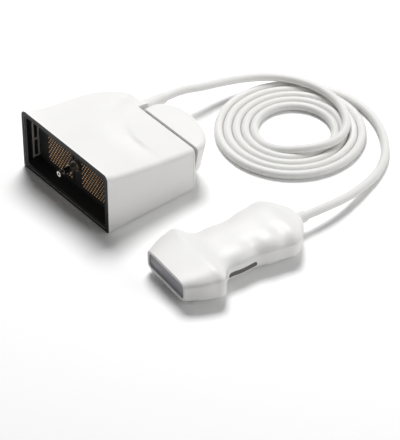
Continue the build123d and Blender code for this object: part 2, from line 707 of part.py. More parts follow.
def handle_shell_body(body):
    shell = body - lens_prism(-CUT, LENS_DEPTH, FIT)
    shell -= centred(LENS_DEPTH - CUT, FRAME_END, FRAME_WIDTH + 2 * FIT, FRAME_HEIGHT + 2 * FIT)
    shell -= centred(FRAME_END - CUT, HANDLE_CAVITY_END, HANDLE_CAVITY_WIDTH, HANDLE_CAVITY_HEIGHT)
    for x in (RIB_FRONT_X, RIB_REAR_X):
        rib = centred(x, x + RIB_WIDTH, HANDLE_CAVITY_WIDTH + CUT, HANDLE_CAVITY_HEIGHT + CUT)
        shell += rib - centred(x - CUT, x + RIB_WIDTH + CUT, PROBE_BOARD_WIDTH + 2 * FIT, PROBE_BOARD_THICK)
    ferrule_end = HANDLE_CAVITY_END + PROBE_FERRULE_LENGTH
    shell -= probe_rod(HANDLE_CAVITY_END - CUT, ferrule_end, PROBE_FERRULE_DIAMETER + 2 * FIT)
    shell -= probe_rod(ferrule_end - CUT, FAR, CABLE_DIAMETER + 2 * FIT)
    return shell - probe_rod(TAIL_X - PROBE_BOOT_INSIDE, FAR, PROBE_BOOT_ROOT + 2 * FIT)


def orientation_marker(body):
    low = MARKER_Z - MARKER_HEIGHT / 2
    zone = block(MARKER_X, MARKER_X + MARKER_LENGTH, -RIDGE_WIDTH, 0, low, low + MARKER_HEIGHT)
    ends = [e for e in zone.edges() if abs(e.tangent_at(0.5).Y) > 0.9]
    zone = fillet(ends, MARKER_END_SHARE * MARKER_HEIGHT)
    return (body & zone) - Pos(0, MARKER_DEPTH, 0) * body


def lens():
    radius = (LENS_HEIGHT**2 / 4 + LENS_BULGE**2) / (2 * LENS_BULGE)
    round_front = Pos(LENS_FRONT + radius, 0, 0) * Rot(QUARTER, 0, 0) * Cylinder(radius, 2 * LENS_WIDTH)
    return lens_prism(LENS_FRONT, LENS_DEPTH, 0) & round_front


def array_frame():
    outer = centred(LENS_DEPTH, FRAME_END, FRAME_WIDTH, FRAME_HEIGHT)
    inner = (FRAME_WIDTH - 2 * FRAME_WALL, FRAME_HEIGHT - 2 * FRAME_WALL)
    return outer - centred(0, FAR, *inner)


def stack_layer(x0, x1):
    width = FRAME_WIDTH - 2 * FRAME_WALL - 2 * STACK_CLEARANCE
    return centred(x0, x1, width, FRAME_HEIGHT - 2 * FRAME_WALL - 2 * STACK_CLEARANCE)


def flex_circuit(side):
    face = PROBE_BOARD_THICK / 2
    start = FRAME_HEIGHT / 2 - 2 * FRAME_WALL
    lower = [(FRAME_END, start), (FRAME_END + FLEX_STRAIGHT, start), (PROBE_BOARD_X - FLEX_LEAD, face)]
    lower += [(PROBE_BOARD_X + FLEX_LAP, face)]
    upper = [(x, z + FLEX_THICK) for x, z in reversed(lower)]
    outline = make_face(Polyline(*[(x, side * z) for x, z in lower + upper], close=True))
    return extrude(Plane.XZ * outline, FLEX_WIDTH / 2, both=True)


def termination_board():
    return centred(PROBE_BOARD_X, BOARD_END, PROBE_BOARD_WIDTH, PROBE_BOARD_THICK)


def probe_coax_fan():
    start = (BOARD_END, 0, 0, FAN_WIDTH, FAN_THICK)
    return oval_loft([start, (HANDLE_CAVITY_END - FAN_END_GAP, 0, 0, CORE_DIAMETER, CORE_DIAMETER)])


def probe_ferrule():
    end = HANDLE_CAVITY_END + PROBE_FERRULE_LENGTH
    return tube(HANDLE_CAVITY_END, end, PROBE_FERRULE_DIAMETER, CABLE_DIAMETER + FIT, 0, 0)


def probe_boot():
    bore = CABLE_DIAMETER / 2 + FIT / 2
    root = PROBE_BOOT_ROOT / 2
    start = TAIL_X - PROBE_BOOT_INSIDE
    profile = [(start, bore), (start, root), (TAIL_X, root)]
    profile += [(PROBE_BOOT_END, BOOT_TIP / 2), (PROBE_BOOT_END, bore)]
    return turned(profile, 0, 0)


# Free cable: straight runs joined by tangent arcs as wide as the runs allow
def cord_radii(points):
    radii = []
    for before, here, after in zip(points, points[1:], points[2:]):
        into, out = Vector(*here) - Vector(*before), Vector(*after) - Vector(*here)
        half_turn = math.radians(into.get_angle(out)) / 2
        radii.append(RUN_SHARE * min(into.length, out.length) / math.tan(half_turn))
    return radii


def cord_tube(name, points):
    radii = cord_radii(points)
    path = FilletPolyline(*points, radius=radii)
    section = Plane(origin=path @ 0, z_dir=path % 0) * Circle(CABLE_DIAMETER / 2)
    cord = sweep(section, path=path)
    share = cord.volume / (math.pi * CABLE_DIAMETER**2 / 4 * path.length)
    print(name, "length", round(path.length, 1), "volume share", round(share, 4))
    print(name, "radii", [round(r) for r in radii])
    return cord


def cable_coil():
    inner, outer = COIL_INNER + COIL_ROUND, COIL_OUTER - COIL_ROUND
    low, high = COIL_ROUND, CABLE_DIAMETER - COIL_ROUND
    ring = [(inner, 0), (outer, 0), (COIL_OUTER, low), (COIL_OUTER, high)]
    ring += [(outer, CABLE_DIAMETER), (inner, CABLE_DIAMETER), (COIL_INNER, high), (COIL_INNER, low)]
    ring_face = make_face(Polyline(*ring, close=True))
    return Pos(COIL_X, COIL_Y, 0) * revolve(Plane.XZ * ring_face, Axis.Z)


def connector_nodes():
    shell = housing_shell()
    nodes = {"connector_hood": connector_hood(shell), "rear_tray": rear_tray(shell)}
    for make in (
        tray_screws,
        mouth_liner,
        contact_panel,
        front_bushing,
        rear_bushing,
        lock_shaft,
        lock_tip,
        shaft_clip,
        wave_washer,
        lock_lever,
        lever_set_screw,
        interface_board,
        main_board,
        board_screws,
        connector_coax_fan,
        connector_cable_tail,
        cable_ferrule,
        connector_boot,
    ):
        nodes[make.__name__] = make()
    for name, side in (("left", 1), ("right", -1)):
        nodes["contact_block_" + name] = contact_block(side)
        nodes["earth_spring_" + name] = earth_spring(side)
        nodes["board_header_" + name] = board_header(side)
    return nodes


def probe_place(body):
    lowest = body.bounding_box().min.Z
    return Location((PROBE_X, PROBE_Y, -lowest), (0, 0, PROBE_YAW))


def probe_nodes(body):
    marker = orientation_marker(body)
    shell = handle_shell_body(body)
    matching_end = LENS_DEPTH + MATCHING_THICK
    element_end = matching_end + ELEMENT_THICK
    nodes = {
        "handle_upper_shell": shell & block(-FAR, FAR, -FAR, FAR, 0, FAR),
        "handle_lower_shell": (shell & block(-FAR, FAR, -FAR, FAR, -FAR, 0)) - marker,
        "orientation_marker": marker,
        "matching_layer": stack_layer(LENS_DEPTH, matching_end),
        "element_array": stack_layer(matching_end, element_end),
        "backing_block": stack_layer(element_end, FRAME_END),
        "flex_circuit_upper": flex_circuit(1),
        "flex_circuit_lower": flex_circuit(-1),
        "probe_cable_tail": probe_rod(HANDLE_CAVITY_END - FAN_END_GAP, PROBE_BOOT_END, CABLE_DIAMETER),
    }
    for make in (lens, array_frame, termination_board, probe_coax_fan, probe_ferrule, probe_boot):
        nodes[make.__name__] = make()
    return nodes


def cord_nodes(probe):
    ends = (0, LEAD_STRAIGHT)
    leave = [CONNECTOR * Pos(CONNECTOR_BOOT_END + x, CABLE_EXIT_Y, CABLE_EXIT_Z) for x in ends]
    enter = [probe * Pos(PROBE_BOOT_END + x, 0, 0) for x in reversed(ends)]
    leave, enter = ([tuple(place.position) for place in places] for places in (leave, enter))
    print("cable from", leave, "to", enter)
    return {
        "cable_lead_in": cord_tube("cable_lead_in", leave + LEAD_IN),
        "cable_lead_out": cord_tube("cable_lead_out", LEAD_OUT + enter),
        "cable_coil": cable_coil(),
    }


def main():
    os.makedirs("parts", exist_ok=True)
    nodes = {name: CONNECTOR * piece for name, piece in connector_nodes().items()}
    body = handle_body()
    probe = probe_place(body)
    nodes.update({name: probe * piece for name, piece in probe_nodes(body).items()})
    own = Compound(children=[Part(piece.wrapped) for piece in nodes.values()])
    print("object box", own.bounding_box())
    nodes.update(cord_nodes(probe))
    for name, piece in nodes.items():
        export_step(piece, os.path.join("parts", name + ".step"))


if __name__ == "__main__":
    main()
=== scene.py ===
"""The looks of an ultrasound transducer probe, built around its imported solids."""

import json
import math

import bpy
from bpy.props import FloatProperty, FloatVectorProperty, IntProperty, PointerProperty
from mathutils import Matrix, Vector


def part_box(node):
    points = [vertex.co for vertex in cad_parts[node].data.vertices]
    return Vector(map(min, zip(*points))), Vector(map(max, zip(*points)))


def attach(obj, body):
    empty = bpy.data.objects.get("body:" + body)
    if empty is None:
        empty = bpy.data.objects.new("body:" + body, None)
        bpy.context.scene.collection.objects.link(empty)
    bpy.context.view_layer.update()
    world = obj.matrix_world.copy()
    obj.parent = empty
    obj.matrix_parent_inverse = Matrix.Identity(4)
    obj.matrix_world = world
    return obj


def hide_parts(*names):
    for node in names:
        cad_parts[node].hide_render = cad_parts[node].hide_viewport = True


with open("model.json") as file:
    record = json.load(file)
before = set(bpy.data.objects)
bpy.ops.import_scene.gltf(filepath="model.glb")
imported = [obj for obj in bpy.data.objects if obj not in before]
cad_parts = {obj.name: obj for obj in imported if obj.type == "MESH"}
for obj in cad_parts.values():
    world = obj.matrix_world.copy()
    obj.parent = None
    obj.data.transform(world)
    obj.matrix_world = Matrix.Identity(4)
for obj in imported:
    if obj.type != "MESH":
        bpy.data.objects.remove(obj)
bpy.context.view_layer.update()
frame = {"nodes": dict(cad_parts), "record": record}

bl_info = {
    "name": "Ultrasound transducer probe",
    "version": (1, 0, 0),
    "blender": (4, 5, 0),
    "location": "View3D > Sidebar > Probe",
    "description": "Dresses the packed probe, its coiled cable and its connector",
    "category": "Object",
}

MM = 0.001
BASE = "base"

# The cable's route in millimetres: its ends at the two boots, the lead to the coil and the lead to the handle
CABLE_LEAVES = [(61.2, 82.7, 24.0), (76.2, 82.7, 24.0)]
LEAD_IN = [
    (95.1, 80.7, 19.2),
    (117.1, 79.9, 14.6),
    (138.1, 75.2, 11.6),
    (155.6, 65.2, 10.4),
    (168.1, 48.7, 10.3),
    (174.4, 28.7, 10.3),
    (173.6, 8.2, 10.3),
    (165.5, -9.9, 10.3),
]
LEAD_OUT = [
    (189.3, 11.7, 3.4),
    (189.6, -8.3, 3.4),
    (183.6, -28.3, 3.4),
    (172.6, -46.8, 3.4),
    (157.1, -62.3, 3.4),
    (139.1, -71.8, 3.6),
    (118.1, -78.1, 6.0),
    (96.6, -82.5, 9.5),
]
CABLE_ENTERS = [(75.45, -83.42, 12.62), (60.52, -81.96, 12.62)]
COIL_CENTRE = (128.4, 10.1)
COIL_START_ANGLE = -183.0
# Where the lead dips from the turns that it crosses to the floor inside them: angle, radius and height
COIL_DIP = [
    (-49.0, 41.2, 10.3),
    (-66.0, 39.8, 10.3),
    (-82.0, 37.3, 10.3),
    (-97.0, 34.5, 10.1),
    (-111.5, 32.0, 9.3),
    (-126.0, 30.2, 8.0),
    (-140.5, 29.2, 6.5),
    (-155.0, 28.7, 5.0),
    (-169.0, 28.6, 3.95),
]
COIL_TURNS = 4.45
# How the cable is drawn: the curve's order, its steps between two points, and those round its jacket
ROUTE_ORDER = 3
ROUTE_STEPS = 6
JACKET_STEPS = 6

# Inlays that stand proud of the shell round them
PROUD = {"orientation_marker": 0.08 * MM}

# Facets closer than this are one, and edges sharper than this stay sharp
FACET_GAP = 0.002 * MM
SHARP_ANGLE = math.radians(32.0)

# The handle's frame: the middle of its nose, and its turn about the vertical
HANDLE_NOSE = Vector((-60.4, -70.1, 12.62)) * MM
HANDLE_YAW = math.radians(-5.6)
HANDLE_SHELLS = ("handle_upper_shell", "handle_lower_shell")
# Facets with longer edges are cut up, this many times, before the handle is rounded
LONG_EDGE = 2.0 * MM
FINER = 2
# The handle's head in millimetres: half its size, and where each change starts and ends along it
HEAD_HALF_THICK = 12.6
HEAD_HALF_WIDTH = 34.5
HEAD_RISE, HEAD_FALL = (2.0, 14.0), (28.0, 38.0)
FLANK_RISE, FLANK_FALL = (2.0, 13.0), (13.0, 25.0)
CORNER_RISE, CORNER_FALL = (17.0, 26.0), (28.0, 36.0)
# Shares by which the flanks grow and the corners, the edges and the ends of the faces draw in
FLANK_GROWS = 0.035
CORNER_SHRINKS = 0.015
EDGE_SHRINKS, EDGE_POWER = 0.1, 3.0
END_SHRINKS, END_POWER = 0.05, 5.0
# Finger grooves along the handle's near edge: middle and reach from the nose, and depth, in millimetres
FINGER_GROOVES = [(65.0, 10.0), (89.0, 9.0)]
GROOVE_DEPTH = 1.0
GROOVE_ACROSS, GROOVE_UP = (-3.0, -15.0), (2.0, 8.0)

# The hood's front edge is painted black this far back: partly the black frame round the mouth, partly painted
# shade on the rim that faces away from the light
MOUTH_FRAME_AND_SHADE = 0.5 * MM
BLACK = (0.012, 0.012, 0.0125)
# The hood and the black plastic throw back less light, and the hood's white makes up for that
GLOSSY = 0.5
DULL = 0.2
HOOD_TONE = 1.035

# How the fine lines of drawn metal are stretched: along X, up, up on small screws, and round X
LINES_ALONG = (0.04, 1.0, 1.0)
LINES_UP = (1.0, 1.0, 0.04)
LINES_UP_SCREW = (1.0, 1.0, 0.1)
LINES_ROUND = (1.0, 0.05, 0.05)

# Circuit boards: the tracks, the pads and their colours
TRACK_REPEAT, TRACK_EDGE, TRACK_SHOWS = 0.6 * MM, 0.35 * MM, 0.7
PAD_SCALE, PAD_SIZE = 420.0, 0.22
MASK = (0.012, 0.09, 0.035)
MASK_ON_COPPER = (0.03, 0.17, 0.06)
TINNED = (0.5, 0.48, 0.42)

# The contact fields: the blocks' faces in the mouth, with the rows closer than the contacts in a row
FIELD_MARGIN = 0.9 * MM
BLOCK_EAR = 1.4 * MM
ROW_SHARE = 0.87
STUD_SIDES = 8
STUD_TOP_SHARE = 0.55


class CableSizes(bpy.types.PropertyGroup):
    """The cable and the turns that it lies in."""

    diameter: FloatProperty(
        name="Diameter",
        description="Thickness of the cable",
        default=6.7 * MM,
        unit="LENGTH",
        precision=5,
    )
    first_turn: FloatProperty(
        name="First turn",
        description="Radius of the innermost turn",
        default=28.7 * MM,
        unit="LENGTH",
        precision=5,
    )
    pitch: FloatProperty(
        name="Pitch",
        description="Distance between turns",
        default=6.9 * MM,
        unit="LENGTH",
        precision=5,
    )
    points_per_turn: IntProperty(
        name="Points per turn",
        description="Route points in each turn",
        default=24,
        min=12,
    )


class ContactSizes(bpy.types.PropertyGroup):
    """The contacts that stand in the two fields of the mouth."""

    pitch: FloatProperty(
        name="Pitch",
        description="Distance between contacts in a row",
        default=2.6 * MM,
        unit="LENGTH",
        precision=5,
    )
    radius: FloatProperty(
        name="Radius",
        description="Radius of one contact",
        default=0.45 * MM,
        unit="LENGTH",
        precision=5,
    )
    height: FloatProperty(
        name="Height",
        description="How far a contact stands out",
        default=0.35 * MM,
        unit="LENGTH",
        precision=5,
    )


class ProbeColours(bpy.types.PropertyGroup):
    """The colours of the finishes."""

    shell: FloatVectorProperty(
        name="Shell", description="Moulded housing and handle", default=(0.93, 0.925, 0.91), subtype="COLOR"
    )
    cable: FloatVectorProperty(
        name="Cable", description="Jacket and boots", default=(0.89, 0.884, 0.865), subtype="COLOR"
    )
    lens: FloatVectorProperty(
        name="Lens", description="Soft front", default=(0.27, 0.265, 0.3), subtype="COLOR"
    )
    contact: FloatVectorProperty(
        name="Contact", description="Plated contacts", default=(1.0, 0.66, 0.36), subtype="COLOR"
    )


class StageSizes(bpy.types.PropertyGroup):
    """The camera and the light."""

    azimuth: FloatProperty(
        name="Azimuth", description="Camera's direction", default=math.radians(-39.11), subtype="ANGLE"
    )
    elevation: FloatProperty(
        name="Elevation", description="Camera's height", default=math.radians(39.57), subtype="ANGLE"
    )
    distance: FloatProperty(name="Distance", description="Camera to target", default=1.754, unit="LENGTH")
    lens: FloatProperty(name="Lens", description="Focal length in millimetres", default=196.36)
    key: FloatProperty(name="Key", description="Power of the key light", default=27.5, unit="POWER")
    fill: FloatProperty(name="Fill", description="Power of the fill light", default=9.5, unit="POWER")
    ambient: FloatProperty(name="Ambient", description="Strength of the sky's light", default=0.1)


GROUPS = {
    "probe_cable": CableSizes,
    "probe_contacts": ContactSizes,
    "probe_colours": ProbeColours,
    "probe_stage": StageSizes,
}


# Shader maths
class Wire:
    """A shader socket that can stand in a Python expression."""

    def __init__(self, sheet, socket):
        self.sheet = sheet
        self.socket = socket

    def __add__(self, other):
        return self.sheet.math("ADD", self, other)

    def __radd__(self, other):
        return self.sheet.math("ADD", other, self)

    def __sub__(self, other):
        return self.sheet.math("SUBTRACT", self, other)

    def __rsub__(self, other):
        return self.sheet.math("SUBTRACT", other, self)

    def __mul__(self, other):
        return self.sheet.math("MULTIPLY", self, other)

    def __rmul__(self, other):
        return self.sheet.math("MULTIPLY", other, self)

    def __truediv__(self, other):
        return self.sheet.math("DIVIDE", self, other)

    def __pow__(self, other):
        return self.sheet.math("POWER", self, other)


class Sheet:
    """A node tree and the one call that adds nodes to it."""

    def __init__(self, tree):
        self.tree = tree
        self.tree.nodes.clear()

    def node(self, kind, settings=None, inputs=None, output=0):
        made = self.tree.nodes.new(kind)
        for name, value in (settings or {}).items():
            if name == "stops":
                self.set_stops(made.color_ramp, value)
            else:
                setattr(made, name, value)
        for name, value in (inputs or {}).items():
            self.feed(self.socket(made.inputs, name), value)
        return Wire(self, self.socket(made.outputs, output)) if made.outputs else None

    @staticmethod
    def socket(sockets, key):
        if isinstance(key, int):
            return sockets[key]
        return next(s for s in sockets if s.identifier == key or s.name == key)

    @staticmethod
    def set_stops(ramp, stops):
        for place, _ in stops[2:]:
            ramp.elements.new(place)
        for element, (place, color) in zip(ramp.elements, stops):
            element.position = place
            element.color = color

    def feed(self, socket, value):
        if isinstance(value, Wire):
            self.tree.links.new(value.socket, socket)
        elif socket.type == "RGBA":
            socket.default_value = (*value[:3], 1.0)
        else:
            socket.default_value = value

    def math(self, operation, *values):
        return self.node("ShaderNodeMath", {"operation": operation}, dict(enumerate(values)))


class Finish(Sheet):
    """One material with its main shader."""

    def __init__(self, name, **sockets):
        self.material = bpy.data.materials.new(name)
        self.material.use_nodes = True
        super().__init__(self.material.node_tree)
        shader = self.node("ShaderNodeBsdfPrincipled")
        self.shader = shader.socket.node
        self.node("ShaderNodeOutputMaterial", inputs={"Surface": shader})
        self.place = self.node("ShaderNodeTexCoord", output="Object")
        self.set(**sockets)

    def set(self, **sockets):
        for name, value in sockets.items():
            self.feed(self.socket(self.shader.inputs, name.replace("_", " ").title()), value)
        return self

    def noise(self, scale, detail=2.0, stretch=(1.0, 1.0, 1.0)):
        place = self.node("ShaderNodeMapping", inputs={"Vector": self.place, "Scale": stretch})
        return self.node("ShaderNodeTexNoise", inputs={"Vector": place, "Scale": scale, "Detail": detail})

    def mix(self, share, low, high):
        inputs = {"Factor_Float": share, "A_Color": low, "B_Color": high}
        return self.node("ShaderNodeMix", {"data_type": "RGBA"}, inputs, "Result_Color")

    def bump(self, height, distance):
        normal = self.node("ShaderNodeBump", inputs={"Height": height, "Distance": distance})
        return self.set(normal=normal)


def shade(color, share):
    """A colour made darker or paler."""
    return tuple(share * c for c in color)


def sway(middle, *noises):
    """A value that sways round its middle: each noise with the width of its sway."""
    return middle + sum(width * (noise - 0.5) for noise, width in noises)


def moulded(name, color, roughness, depth=0.008 * MM, tone=0.96, gloss=GLOSSY, frame_and_shade_before=None):
    """Moulded plastic with a fine grain and faint clouds, painted black in front of one place if that is
    given, as a frame and painted shade.
    """
    finish = Finish(name)
    finish.shader.inputs["Specular IOR Level"].default_value = gloss
    cloud = finish.noise(scale=55.0, detail=3.0)
    speck = finish.noise(scale=2600.0)
    skin = finish.mix(cloud, shade(color, tone), color)
    # Black in front of the given place: a frame and painted shade on the front rim
    if frame_and_shade_before is not None:
        along = finish.node("ShaderNodeSeparateXYZ", inputs={"Vector": finish.place})
        skin = finish.mix(finish.math("LESS_THAN", along, frame_and_shade_before), skin, BLACK)
    finish.set(base_color=skin, roughness=sway(roughness, (cloud, 0.12), (speck, 0.08)))
    return finish.bump(speck, depth).material


def jacket(name, color, roughness, depth=0.01 * MM, tone=0.955, skin_share=0.4):
    """Soft extruded rubber: long faint waves and a dull skin."""
    finish = Finish(name)
    wave = finish.noise(scale=180.0)
    skin = finish.noise(scale=1900.0, detail=3.0)
    finish.set(base_color=finish.mix(wave, shade(color, tone), color))
    finish.set(roughness=sway(roughness, (wave, 0.1), (skin, 0.1)))
    return finish.bump(wave * (1.0 - skin_share) + skin * skin_share, depth).material


def drawn_metal(name, color, roughness, along=LINES_ALONG, depth=0.003 * MM, tone=0.86):
    """Turned or rolled metal with fine lines along one way."""
    finish = Finish(name, metallic=1.0)
    line = finish.noise(scale=5200.0, stretch=along)
    stain = finish.noise(scale=260.0, detail=3.0)
    finish.set(base_color=finish.mix(stain, shade(color, tone), color))
    finish.set(roughness=sway(roughness, (line, 0.16), (stain, 0.1)))
    return finish.bump(line, depth).material


def lens_rubber(name, color, roughness=0.36, depth=0.004 * MM, tones=(0.93, 1.05)):
    """Smooth cast silicone in faint clouds of a darker and a paler tone."""
    finish = Finish(name, coat_weight=0.15, coat_roughness=0.25)
    cloud = finish.noise(scale=120.0, detail=3.0)
    skin = finish.noise(scale=2400.0)
    finish.set(base_color=finish.mix(cloud, *(shade(color, tone) for tone in tones)))
    finish.set(roughness=sway(roughness, (cloud, 0.1), (skin, 0.06)))
    return finish.bump(skin, depth).material


def circuit_laminate(name, roughness=0.34, depth=0.03 * MM):
    """Solder-masked laminate with copper tracks just under the mask."""
    finish = Finish(name)
    x, y, z = (
        finish.node("ShaderNodeSeparateXYZ", inputs={"Vector": finish.place}, output=i) for i in range(3)
    )
    spread = {"Vector": finish.place, "Scale": PAD_SCALE}
    cells = finish.node("ShaderNodeTexVoronoi", {"distance": "CHEBYCHEV"}, spread)
    track = finish.math("GREATER_THAN", finish.math("PINGPONG", x + y + z, TRACK_REPEAT), TRACK_EDGE)
    pad = finish.math("LESS_THAN", cells, PAD_SIZE)
    green = finish.mix(track * TRACK_SHOWS, MASK, MASK_ON_COPPER)
    finish.set(base_color=finish.mix(pad, green, TINNED))
    finish.set(roughness=sway(roughness, (finish.noise(scale=700.0), 0.1)))
    return finish.bump(track + pad, depth).material


def fine_leads(name, color, roughness=0.45, depth=0.12 * MM, gap_shade_tone=0.45):
    """A flat bundle of many fine coaxial leads, with painted shade darkening the gaps between them."""
    finish = Finish(name)
    strand = finish.noise(scale=2600.0, detail=1.0, stretch=(0.06, 1.0, 1.0))
    # The gaps between the leads are painted darker: painted shade
    stops = [(0.35, (*shade(color, gap_shade_tone), 1.0)), (0.6, (*color, 1.0))]
    ramp = finish.node("ShaderNodeValToRGB", {"stops": stops}, {"Fac": strand})
    finish.set(base_color=ramp, roughness=sway(roughness, (strand, 0.2)))
    return finish.bump(strand, depth).material


def finishes(colours):
    """Every finish of the probe by its slot in the record, and two by their pieces."""
    shell, cable = tuple(colours.shell), tuple(colours.cable)
    hood = shade(shell, HOOD_TONE)
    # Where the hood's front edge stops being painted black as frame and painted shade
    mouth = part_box("connector_hood")[0].x + MOUTH_FRAME_AND_SHADE
    return {
        "white_plastic": moulded("white moulding", shell, 0.4),
        "connector_hood": moulded("hood moulding", hood, 0.4, gloss=DULL, frame_and_shade_before=mouth),
        "black_plastic": moulded("black moulding", BLACK, 0.48, 0.02 * MM, 0.8, DULL),
        "contact_plastic": moulded("contact block", (0.014, 0.011, 0.009), 0.55, tone=0.7, gloss=DULL),
        "header_plastic": moulded("header strip", (0.03, 0.03, 0.03), 0.5, tone=0.8),
        "marker_plastic": moulded("marker inlay", (0.11, 0.105, 0.1), 0.42, tone=0.85),
        "element_ceramic": moulded("element ceramic", (0.5, 0.46, 0.38), 0.6, tone=0.85),
        "matching_resin": moulded("matching resin", (0.38, 0.27, 0.13), 0.35, tone=0.85),
        "flex_film": moulded("flex film", (0.5, 0.24, 0.05), 0.25, tone=0.8),
        "cable_jacket": jacket("cable jacket", cable, 0.46),
        "boot_rubber": jacket("boot rubber", shade(cable, 0.97), 0.52),
        "backing_rubber": jacket("backing block", (0.05, 0.05, 0.05), 0.7),
        "lens_rubber": lens_rubber("lens silicone", tuple(colours.lens)),
        "spring_steel": drawn_metal("spring strip", (0.8, 0.79, 0.76), 0.5, LINES_UP),
        "screw_steel": drawn_metal("screw steel", (0.56, 0.55, 0.53), 0.32, LINES_UP_SCREW),
        "shaft_steel": drawn_metal("blackened shaft", (0.06, 0.06, 0.062), 0.3, LINES_ROUND),
        "lock_tip": drawn_metal("bright tip", (0.86, 0.86, 0.85), 0.16, LINES_ROUND),
        "bushing_metal": drawn_metal("turned bushing", (0.3, 0.29, 0.27), 0.34, LINES_ROUND),
        "ferrule_brass": drawn_metal("crimped brass", (0.72, 0.5, 0.2), 0.34),
        "frame_aluminium": drawn_metal("milled frame", (0.72, 0.72, 0.73), 0.38),
        "circuit_board": circuit_laminate("circuit laminate"),
        "coax_bundle": fine_leads("coaxial leads", (0.42, 0.45, 0.5)),
    }


def smooth(piece, proud, tree):
    """Joins the loose facets when the piece is drawn, so that curved faces shade as one."""
    for face in piece.data.polygons:
        face.use_smooth = True
    weld = piece.modifiers.new("join facets", "WELD")
    weld.merge_threshold = FACET_GAP
    if proud:
        swell = piece.modifiers.new("stand proud", "DISPLACE")
        swell.strength = proud
        swell.mid_level = 0.0
    if tree:
        piece.modifiers.new("round", "NODES").node_group = tree
    split = piece.modifiers.new("keep edges", "EDGE_SPLIT")
    split.split_angle = SHARP_ANGLE
    normals = piece.modifiers.new("flat faces stay flat", "WEIGHTED_NORMAL")
    normals.keep_sharp = True


def head_tree():
    """A tree that rounds the handle's wedge-shaped head and presses finger grooves into its grip."""
    tree = bpy.data.node_groups.new("round head", "GeometryNodeTree")
    tree.interface.new_socket("Geometry", in_out="INPUT", socket_type="NodeSocketGeometry")
    tree.interface.new_socket("Geometry", in_out="OUTPUT", socket_type="NodeSocketGeometry")
    sheet = Sheet(tree)
    given = sheet.node("NodeGroupInput")

    def vector(operation, *values, output=0):
        return sheet.node("ShaderNodeVectorMath", {"operation": operation}, dict(enumerate(values)), output)

    def rise(value, start, end):
        limits = {"Value": value, "From Min": start, "From Max": end}
        return sheet.node("ShaderNodeMapRange", {"interpolation_type": "SMOOTHSTEP"}, limits)

    def hump(value, up, down):
        return rise(value, *up) * (1.0 - rise(value, *down))

    edge_ends = ("Position 1", "Position 2")
    ends = [sheet.node("GeometryNodeInputMeshEdgeVertices", output=name) for name in edge_ends]
    length = vector("DISTANCE", *ends, output="Value")
    edge = sheet.node("GeometryNodeFieldOnDomain", {"domain": "EDGE"}, {"Value": length})
    chosen = {"Geometry": given, "Selection": sheet.math("GREATER_THAN", edge, LONG_EDGE)}
    split = sheet.node("GeometryNodeSeparateGeometry", {"domain": "FACE"}, chosen)
    rest = Wire(sheet, split.socket.node.outputs["Inverted"])
    dense = sheet.node("GeometryNodeSubdivideMesh", inputs={"Mesh": split, "Level": FINER})
    joined = sheet.node("GeometryNodeJoinGeometry", inputs={"Geometry": rest})
    tree.links.new(dense.socket, joined.socket.node.inputs["Geometry"])
    whole = sheet.node("GeometryNodeMergeByDistance", inputs={"Geometry": joined, "Distance": FACET_GAP})

    along = Vector((math.cos(HANDLE_YAW), math.sin(HANDLE_YAW), 0.0))
    across = Vector((-math.sin(HANDLE_YAW), math.cos(HANDLE_YAW), 0.0))
    place = vector("SUBTRACT", sheet.node("GeometryNodeInputPosition"), HANDLE_NOSE)
    x = vector("DOT_PRODUCT", place, along, output="Value") / MM
    y = vector("DOT_PRODUCT", place, across, output="Value") / MM
    z = vector("DOT_PRODUCT", place, (0.0, 0.0, 1.0), output="Value") / MM
    head = hump(x, HEAD_RISE, HEAD_FALL)
    flank = hump(x, FLANK_RISE, FLANK_FALL)
    corner = hump(x, CORNER_RISE, CORNER_FALL)
    high = sheet.math("ABSOLUTE", z / HEAD_HALF_THICK) ** EDGE_POWER
    wide = sheet.math("ABSOLUTE", y / HEAD_HALF_WIDTH) ** END_POWER
    new_y = y * (1.0 + FLANK_GROWS * flank - CORNER_SHRINKS * corner - EDGE_SHRINKS * head * high)
    grooves = sum(hump(x, (at - reach, at), (at, at + reach)) for at, reach in FINGER_GROOVES)
    near_edge = rise(y, *GROOVE_ACROSS) * rise(z, *GROOVE_UP)
    new_z = z * (1.0 - END_SHRINKS * head * wide) - GROOVE_DEPTH * grooves * near_edge
    scaled = {0: across, "Scale": (new_y - y) * MM}
    sideways = sheet.node("ShaderNodeVectorMath", {"operation": "SCALE"}, scaled)
    upwards = sheet.node("ShaderNodeCombineXYZ", inputs={"Z": (new_z - z) * MM})
    shift = vector("ADD", sideways, upwards)
    rounded = sheet.node("GeometryNodeSetPosition", inputs={"Geometry": whole, "Offset": shift})
    sheet.node("NodeGroupOutput", inputs={"Geometry": rounded})
    return tree


class PROBE_OT_solids(bpy.types.Operator):
    """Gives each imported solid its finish"""

    bl_idname = "probe.finish_solids"
    bl_label = "Finish solids"

    def execute(self, context):
        made = finishes(context.scene.probe_colours)
        head = head_tree()
        for part in frame["record"]["subparts"]:
            piece = frame["nodes"][part["node"]]
            piece.data.materials.clear()
            piece.data.materials.append(made.get(part["node"], made[part["material_slot"]]))
            smooth(piece, PROUD.get(part["node"]), head if part["node"] in HANDLE_SHELLS else None)
        return {"FINISHED"}


def cable_route(sizes):
    """The cable's points from the connector's boot round the coil to the handle's boot, in metres."""
    on_floor = sizes.diameter / 2 / MM

    def on_turn(angle, radius, height):
        turn = math.radians(angle)
        return (
            COIL_CENTRE[0] + radius * math.cos(turn),
            COIL_CENTRE[1] + radius * math.sin(turn),
            height,
        )

    dip = [on_turn(*place) for place in COIL_DIP]
    steps = round(COIL_TURNS * sizes.points_per_turn)
    turns = []
    for i in range(steps + 1):
        turn = COIL_TURNS * i / steps
        radius = (sizes.first_turn + sizes.pitch * turn) / MM
        turns.append(on_turn(COIL_START_ANGLE - 360.0 * turn, radius, on_floor))
    route = CABLE_LEAVES + LEAD_IN + dip + turns + LEAD_OUT + CABLE_ENTERS
    return [Vector(p) * MM for p in route]


